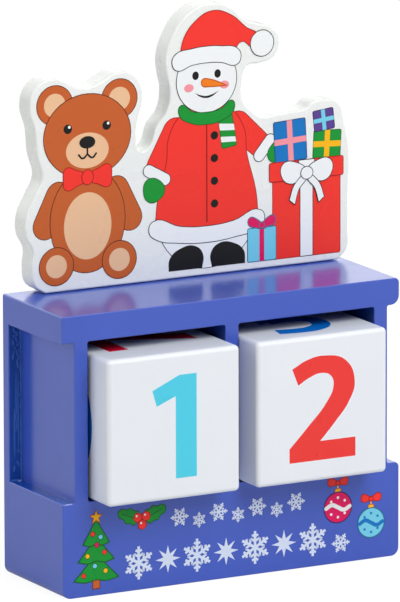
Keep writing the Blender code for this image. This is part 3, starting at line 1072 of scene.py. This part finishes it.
def snowflake(radius, turn):
    """A six-armed snowflake, each arm with two pairs of branches."""
    half = 0.085 * radius
    along = polar(math.radians(60))
    across = Vector((-along.y, along.x)) * half * 0.85
    arm = [Vector((half / math.tan(math.radians(30)), half))]
    for start, length in ((0.38, 0.36), (0.66, 0.24)):
        root = Vector((start * radius, 0))
        for offset, order in ((across, 1), (-across, -1)):
            near = root + offset + along * (half - offset.y) / along.y
            far = root + offset + along * length * radius
            arm += [near, far][::order]
    arm.append(Vector((radius, half)))
    lower = [Vector((p.x, -p.y)) for p in arm[1:]]
    outline = []
    for k in range(6):
        spin = Matrix.Rotation(math.radians(turn + 60 * k), 2)
        outline += [spin @ p for p in lower + arm[::-1]]
    return outline


def star(radius, points=5, waist=0.42, rise=0.0):
    outline = []
    for k in range(2 * points):
        reach = radius if k % 2 == 0 else radius * waist
        outline.append(Vector((0, rise)) + polar(math.pi / 2 + math.pi * k / points, reach))
    return outline


def fir_tree(art):
    art.lined(box(-1.5, 0, 1.5, 4.4, 0.3), "brown")
    for half, low, top in ((9.2, 3.6, 13.0), (7.4, 10.6, 19.4), (5.4, 17.0, 26.0)):
        tier = both_sides(((half, low), (half * 0.45, low - 0.9)), low - 0.2, ((0, top),))
        art.lined(through(tier, (0, 4, 5)), "green", 0.4)
    balls = (
        (-5.2, 5.4, "red"), (3.8, 6.4, "yellow"), (-0.6, 8.6, "sky"), (-3.6, 12.6, "yellow"),
        (3.4, 13.4, "red"), (0.2, 16.4, "magenta"), (-1.4, 20.6, "red"), (1.8, 19.2, "sky"),
    )
    for x, y, name in balls:
        art.lined(ellipse(x, y, 0.95, points=20), name, 0.2, "line")
    art.lined(star(2.7, rise=26.8), "yellow")


def holly(art):
    """Two leaves and three berries."""
    half = ((0, 0), (1.6, 1.6), (2.6, 3.5), (4.6, 3.0), (6.0, 3.8), (7.4, 2.4), (9.4, 2.2), (10.6, 0))
    edge = [*half, *((u, -v) for u, v in half[-2:0:-1])]
    for side in (-1, 1):
        spin = Matrix.Rotation(math.radians(22 * side), 2)
        leaf = [spin @ Vector((u * side, v * 0.82)) for u, v in edge]
        art.lined(through(leaf, range(0, len(leaf), 2)), "green", 0.35)
        art.lay(stroke([spin @ Vector((u * side, 0)) for u in (1.0, 9.0)], 0.3), "green_line")
    for u, v in ((-1.7, 1.2), (1.7, 1.4), (0.1, -1.6)):
        art.lined(ellipse(u, v, 1.75, points=28), "red")
        art.lay(ellipse(u - 0.5, v + 0.6, 0.4, points=12), "white")


def bauble(art, radius, colour, band):
    """A hanging ball with a cap, a wavy band and a bow on top."""
    bow = radius + 3.4
    art.lay(stroke(((0, radius), (0, radius + 3.2)), 0.5), "yellow")
    low = radius - 0.5
    high = radius + 1.3
    art.lined(rounded(((-1.3, low), (1.3, low), (1.1, high), (-1.1, high)), 0.2), "yellow", 0.25)
    art.lined(ellipse(0, 0, radius), colour, 0.4)
    wave = ((-0.86, 0), (-0.43, 1.1), (0, 0), (0.43, -1.1), (0.86, 0))
    art.lay(stroke([(x * radius, y) for x, y in wave], radius * 0.26), band)
    for angle in (40, 90, 140, 220, 270, 320):
        art.lay(ellipse(*polar(math.radians(angle), radius * 0.64), radius * 0.09, points=16), band)
    loop = ((0, bow), (1.5, bow + 1.5), (3.7, bow + 1.9), (3.9, bow - 0.6), (1.8, bow - 0.9))
    for side in (-1, 1):
        art.lined(through(mirrored(loop, side)), "red")
    art.lined(ellipse(0, bow, 0.9, points=20), "red")


def base_picture():
    """Plain seasonal ornament along the front of the base."""
    art = front_picture("base_picture", BASE_LOW, BASE_HIGH, BASE_UNITS, "blue_paint")
    fir_tree(art.at(-56.5, 2.6))
    holly(art.at(-37.6, 26.0))
    for k in range(7):
        art.at(-22.0 + 8.1 * k, 23.4 if k % 2 else 25.4)
        art.lay(snowflake(2.9, 30) if k % 2 else snowflake(3.7, 0), "pale")
    for k in range(7):
        art.at(-39.0 + 12.1 * k, 10.2)
        art.lay(star(5.2, 8, 0.40) if k % 2 else snowflake(6.2, 30), "pale")
    art.at(45.4, 7.6).lay(snowflake(3.8, 0), "pale")
    bauble(art.at(44.2, 21.2), 5.8, "magenta", "white")
    bauble(art.at(58.2, 13.8), 5.6, "sky", "blue")
    art.finish()


def numeral(art, digit, name):
    """A plain bold figure, one unit high, centred on the face."""
    art.at(0, -0.5)
    for kind, *values in NUMERALS[digit]:
        if kind == "ring":
            art.ring(*values, name)
        elif kind == "bar":
            art.lay(box(*values), name)
        elif kind == "pen":
            art.lay(stroke(values[1:], values[0], False, 10), name)
        elif kind == "curve":
            art.lay(through(values[1:], values[0]), name)
        else:
            art.lay(rounded(values), name)


def number_cube(name, node, body, top_way, faces):
    """A soft-edged white cube with a plain figure on each face."""
    low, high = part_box(node)
    centre = (low + high) / 2
    matrix = Matrix.Translation(centre) @ Matrix.Diagonal((*(high - low), 1.0))
    bm = bmesh.new()
    bmesh.ops.create_cube(bm, size=1.0, matrix=matrix)
    bmesh.ops.bevel(bm, geom=bm.edges, offset=CUBE_ROUNDING, segments=8, profile=0.5, affect="EDGES")
    weigh_normals(finish_mesh(name, bm, ("cube",), body, (node,)))
    half = (high.x - low.x) / 2
    height = NUMERAL_SHARE * 2 * half
    for side, (digit, colour) in faces.items():
        right, up = top_way if side == "top" else CUBE_SIDES[side]
        out = Vector(right).cross(Vector(up))
        art = Picture(f"{name}_{side}", centre + out * half, right, up, height, body, "cube_paint")
        numeral(art, digit, colour)
        art.finish()


def cube_pieces():
    """Two cubes that together show every date of the countdown."""
    number_cube("white_left_cube", "left_number_cube", "left_cube", ((0, 1, 0), (-1, 0, 0)), {
        "front": (1, "cyan"), "top": (7, "crimson"), "left": (0, "print_blue"),
        "right": (2, "magenta"), "back": (6, "green"), "under": (8, "orange"),
    })
    number_cube("white_right_cube", "right_number_cube", "right_cube", ((1, 0, 0), (0, 1, 0)), {
        "front": (2, "warm_red"), "top": (5, "print_blue"), "left": (1, "green"),
        "right": (0, "orange"), "back": (3, "magenta"), "under": (4, "cyan"),
    })


def carried_over_nodes():
    """The hidden dowels and pins keep their solids, with a finish of their own."""
    for name in frame["nodes"]:
        if "dowel" in name or "pin" in name:
            materials = bpy.data.objects[name].data.materials
            materials.clear()
            materials.append(MATERIALS["wood" if "dowel" in name else "steel"])


def seen_directly(graph, camera_share, sent_on_share):
    """One share for a ray from the camera, one for a ray sent on by gloss or glass, 0 for light."""
    path = graph.nodes.new("ShaderNodeLightPath").outputs

    def scaled(kind, factor):
        return graph.add("ShaderNodeMath", {1: factor}, {0: path[kind]}, operation="MULTIPLY")["Value"]

    seen = scaled("Is Camera Ray", camera_share)
    for kind in ("Is Glossy Ray", "Is Transmission Ray"):
        either = {0: seen, 1: scaled(kind, sent_on_share)}
        seen = graph.add("ShaderNodeMath", {}, either, operation="MAXIMUM")["Value"]
    return seen


def world():
    """White all round, as the camera and reflections see it; dimmer as a light."""
    surroundings = bpy.data.worlds.new("studio")
    bpy.context.scene.world = surroundings
    graph = Graph(surroundings)
    ends = {"To Min": AMBIENT, "To Max": 1.0}
    strength = graph.add("ShaderNodeMapRange", ends, {"Value": seen_directly(graph, 1.0, 1.0)})["Result"]
    graph.fill(graph.nodes["Background"], {"Color": (1.0, 1.0, 1.0, 1.0)}, {"Strength": strength})


def floor():
    """A wide pale floor that is seen as white but keeps the object's shadow."""
    bm = bmesh.new()
    bmesh.ops.create_grid(bm, x_segments=1, y_segments=1, size=FLOOR_SIZE)
    mesh = bpy.data.meshes.new("floor")
    bm.to_mesh(mesh)
    bm.free()
    look = Look("white_floor")
    colour = look.mix(look.noise(6.0), (0.74, 0.74, 0.74, 1.0), (0.76, 0.76, 0.76, 1.0))
    look.fill(look.shader, {"Roughness": 0.9, "Specular IOR Level": 0.1}, {"Base Color": colour})
    glow = look.add("ShaderNodeEmission", {"Strength": FLOOR_GLOW}, {})["Emission"]
    seen = seen_directly(look, FLOOR_SEEN, FLOOR_MIRRORED)
    shades = {"Fac": seen, 1: look.shader.outputs["BSDF"], 2: glow}
    surface = look.add("ShaderNodeMixShader", {}, shades)["Shader"]
    look.fill(look.nodes["Material Output"], {}, {"Surface": surface})
    mesh.materials.append(look.material)
    plane = add_object("floor", mesh)
    plane.location = (0.0, 0.0, BASE_LOW.z)


def outwards(azimuth, elevation):
    """The way from the calendar to a place round it; the azimuth counts from the front to the right."""
    side = math.radians(azimuth)
    rise = math.radians(elevation)
    return Vector((math.sin(side) * math.cos(rise), -math.cos(side) * math.cos(rise), math.sin(rise)))


def soft_light(name, azimuth, elevation, distance, size, power):
    """A square soft box that faces the calendar."""
    data = bpy.data.lights.new(name, "AREA")
    data.shape = "SQUARE"
    data.size = size
    data.energy = power
    lamp = add_object(name, data)
    back = outwards(azimuth, elevation)
    lamp.location = Vector((0, 0, CAMERA_AIM_HEIGHT)) + back * distance
    lamp.rotation_euler = back.to_track_quat("Z", "Y").to_euler()


def camera():
    """The photograph's camera, solved from the case's straight edges."""
    back = outwards(CAMERA_AZIMUTH, CAMERA_ELEVATION)
    data = bpy.data.cameras.new("photograph")
    data.lens = FOCAL_PIXELS / PHOTO_HEIGHT * data.sensor_width
    data.shift_x = (PHOTO_WIDTH / 2 - AXIS_X) / PHOTO_HEIGHT
    data.shift_y = (AXIS_Y - PHOTO_HEIGHT / 2) / PHOTO_HEIGHT
    data.clip_end = 100.0
    viewer = add_object("photograph", data)
    viewer.location = Vector((0, 0, CAMERA_AIM_HEIGHT)) + back * CAMERA_DISTANCE
    facing = (-back).to_track_quat("-Z", "Y")
    roll = Matrix.Rotation(math.radians(CAMERA_ROLL), 4, "Z")
    viewer.rotation_euler = (facing.to_matrix().to_4x4() @ roll).to_euler()
    bpy.context.scene.camera = viewer


bpy.context.scene.view_settings.view_transform = "Standard"
camera()
world()
floor()
for lamp_name, lamp_values in LAMPS.items():
    soft_light(lamp_name, *lamp_values)
case_skin()
paint_beads()
paint_drips()
pin_heads()
board_piece()
board_picture()
base_picture()
cube_pieces()
carried_over_nodes()
